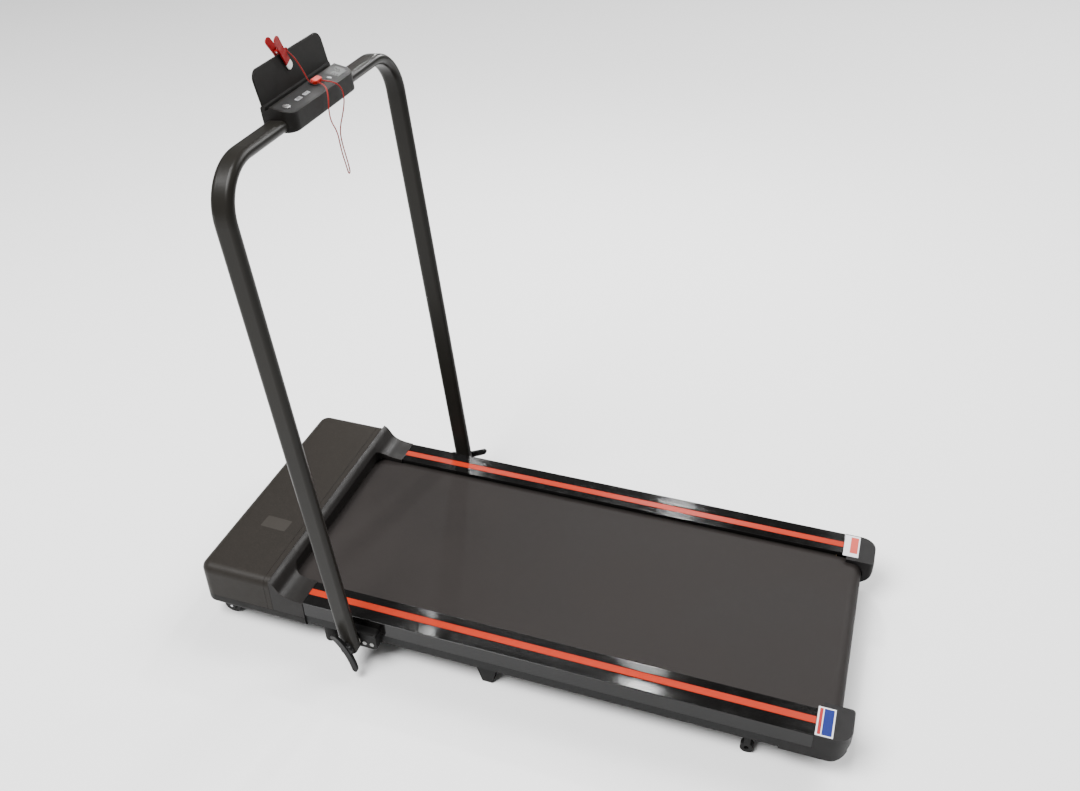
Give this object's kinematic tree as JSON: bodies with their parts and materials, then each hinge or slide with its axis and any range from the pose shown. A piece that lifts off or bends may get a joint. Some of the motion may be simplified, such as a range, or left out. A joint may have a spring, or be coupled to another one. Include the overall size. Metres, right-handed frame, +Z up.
{
  "type": "walking treadmill",
  "caption": "Flat motorised walking treadmill with a motor hood, ribbed foot rails, a folding handrail with a small console and tablet rest, and a tethered safety key.",
  "frame": {"origin": "on the floor, under the middle of the base's length and width", "axes": "+Z up, -Y to the front (motor hood), +Y to the rear, +X to the walker's left"},
  "size_m": [0.6766, 1.3404, 1.187],
  "materials": {
    "frame_steel": "satin black powder coat",
    "deck_board": "sealed fibreboard",
    "rubber_black": "matt moulded rubber",
    "belt": "fine diamond-grain walking belt",
    "roller_steel": "turned steel",
    "bearing_steel": "bright ground steel",
    "fastener_steel": "zinc plated",
    "pulley_aluminium": "turned aluminium",
    "drive_rubber": "ribbed drive belt rubber",
    "motor_paint": "black enamel",
    "controller_aluminium": "anodised extrusion",
    "hood_plastic": "fine dimpled charcoal plastic",
    "collar_plastic": "smooth satin charcoal plastic",
    "pan_plastic": "satin charcoal plastic",
    "fitting_plastic": "black electrical plastic",
    "rail_plastic": "gloss black ribbed plastic",
    "cap_plastic": "fine grained black plastic",
    "stripe_orange": "satin orange-red inlay",
    "label_film": "plain colour-block label film",
    "wheel_plastic": "black nylon wheel",
    "bracket_plastic": "black glass-filled nylon",
    "washer_nylon": "natural nylon",
    "knob_plastic": "black moulded knob",
    "handrail_paint": "satin black powder coat",
    "console_plastic": "fine grained black plastic",
    "console_panel": "dark printed panel",
    "display_glass": "tinted window",
    "circuit_board": "green solder mask",
    "button_dark": "dark grey key",
    "button_silver": "satin silver key",
    "key_red": "red moulded key",
    "clip_red": "translucent red moulded clip",
    "clip_white": "white moulded jaw tip",
    "cord_red": "braided red cord"
  },
  "bodies": {
    "base": {"frame_sides": "frame_steel", "cross_members": "frame_steel", "deck_board": "deck_board", "deck_cushions": "rubber_black", "running_belt": "belt", "axles": "bearing_steel", "fasteners": "fastener_steel", "drive_belt": "drive_rubber", "motor_case": "motor_paint", "controller_box": "controller_aluminium", "motor_hood": "hood_plastic", "hood_strip": "hood_plastic", "hood_collar": "collar_plastic", "bottom_pan": "pan_plastic", "power_inlet": "fitting_plastic", "switch_frame": "fitting_plastic", "side_rail_left": "rail_plastic", "side_rail_right": "rail_plastic", "end_cap_left": "cap_plastic", "end_cap_right": "cap_plastic", "rail_stripes": "stripe_orange", "rear_labels": "label_film", "ring_feet": "rubber_black", "frame_feet": "rubber_black", "wheel_forks": "frame_steel", "pivot_brackets": "bracket_plastic", "pivot_washers": "washer_nylon", "pivot_studs": "bearing_steel"},
    "front_roller": {"front_roller": "roller_steel", "front_bearings": "bearing_steel", "roller_pulley": "pulley_aluminium"},
    "rear_roller": {"rear_roller": "roller_steel", "rear_bearings": "bearing_steel"},
    "motor": {"motor_armature": "bearing_steel"},
    "wheel_left": {"transport_wheel_left": "wheel_plastic"},
    "wheel_right": {"transport_wheel_right": "wheel_plastic"},
    "power_switch": {"switch_rocker": "fitting_plastic"},
    "knob_left": {"clamp_knob_left": "knob_plastic"},
    "knob_right": {"clamp_knob_right": "knob_plastic"},
    "handrail": {"handrail_tube": "handrail_paint", "handrail_plugs": "bracket_plastic", "console_housing": "console_plastic", "console_cover": "console_plastic", "console_face": "console_panel", "display_window": "display_glass", "button_board": "circuit_board", "tablet_holder": "console_plastic", "key_socket": "console_panel", "clip_jaw": "clip_red", "clip_pad": "clip_white", "clip_fittings": "fastener_steel", "cord_loop": "cord_red", "cord_lead": "cord_red"},
    "start_key": {"start_button": "button_dark"},
    "speed_up_key": {"speed_up_button": "button_silver"},
    "speed_down_key": {"speed_down_button": "button_silver"},
    "mode_key": {"mode_button": "button_silver"},
    "safety_key": {"safety_key": "key_red"},
    "clip_lever": {"clip_lever": "clip_red"}
  },
  "joints": [
    {"name": "handrail_fold", "type": "hinge", "parent": "base", "child": "handrail", "pos_m": [0, -0.3086, 0.0658], "axis": [-1, 0, 0], "range_deg": [0, 95.87]},
    {"name": "front_roller_turn", "type": "hinge", "parent": "base", "child": "front_roller", "pos_m": [0, -0.54, 0.0745], "axis": [1, 0, 0], "continuous": true},
    {"name": "rear_roller_turn", "type": "hinge", "parent": "base", "child": "rear_roller", "pos_m": [0, 0.623, 0.0745], "axis": [1, 0, 0], "continuous": true},
    {"name": "motor_turn", "type": "hinge", "parent": "base", "child": "motor", "pos_m": [0, -0.612, 0.1], "axis": [1, 0, 0], "continuous": true},
    {"name": "wheel_left_roll", "type": "hinge", "parent": "base", "child": "wheel_left", "pos_m": [0.248, -0.624, 0.02], "axis": [1, 0, 0], "continuous": true},
    {"name": "wheel_right_roll", "type": "hinge", "parent": "base", "child": "wheel_right", "pos_m": [-0.248, -0.624, 0.02], "axis": [1, 0, 0], "continuous": true},
    {"name": "power_switch_rock", "type": "hinge", "parent": "base", "child": "power_switch", "pos_m": [-0.13, -0.6666, 0.086], "axis": [1, 0, 0], "range_deg": [0, 12]},
    {"name": "knob_left_turn", "type": "hinge", "parent": "base", "child": "knob_left", "pos_m": [0.3183, -0.3086, 0.0658], "axis": [1, 0, 0], "continuous": true},
    {"name": "knob_right_turn", "type": "hinge", "parent": "base", "child": "knob_right", "pos_m": [-0.3183, -0.3086, 0.0658], "axis": [-1, 0, 0], "continuous": true},
    {"name": "start_key_press", "type": "slide", "parent": "handrail", "child": "start_key", "axis": [0, -0.1991, -0.98], "range_m": [0, 0.0012], "stiffness_N_per_m": 200, "springref_m": -0.001},
    {"name": "speed_up_key_press", "type": "slide", "parent": "handrail", "child": "speed_up_key", "axis": [0, -0.1991, -0.98], "range_m": [0, 0.0012], "stiffness_N_per_m": 200, "springref_m": -0.001},
    {"name": "speed_down_key_press", "type": "slide", "parent": "handrail", "child": "speed_down_key", "axis": [0, -0.1991, -0.98], "range_m": [0, 0.0012], "stiffness_N_per_m": 200, "springref_m": -0.001},
    {"name": "mode_key_press", "type": "slide", "parent": "handrail", "child": "mode_key", "axis": [0, -0.1991, -0.98], "range_m": [0, 0.0012], "stiffness_N_per_m": 200, "springref_m": -0.001},
    {"name": "safety_key_pull", "type": "slide", "parent": "handrail", "child": "safety_key", "axis": [0, 0.1991, 0.98], "range_m": [0, 0.01]},
    {"name": "clip_squeeze", "type": "hinge", "parent": "handrail", "child": "clip_lever", "pos_m": [0.0204, -0.44739, 1.16211], "axis": [-0.9191, -0.0837, 0.3849], "range_deg": [0, 14], "stiffness_Nm_per_rad": 0.05, "springref_deg": -11.46}
  ],
  "couplings": [
    {"joint": "rear_roller_turn", "follows": "front_roller_turn", "ratio": 1},
    {"joint": "motor_turn", "follows": "front_roller_turn", "ratio": 2.2727}
  ]
}
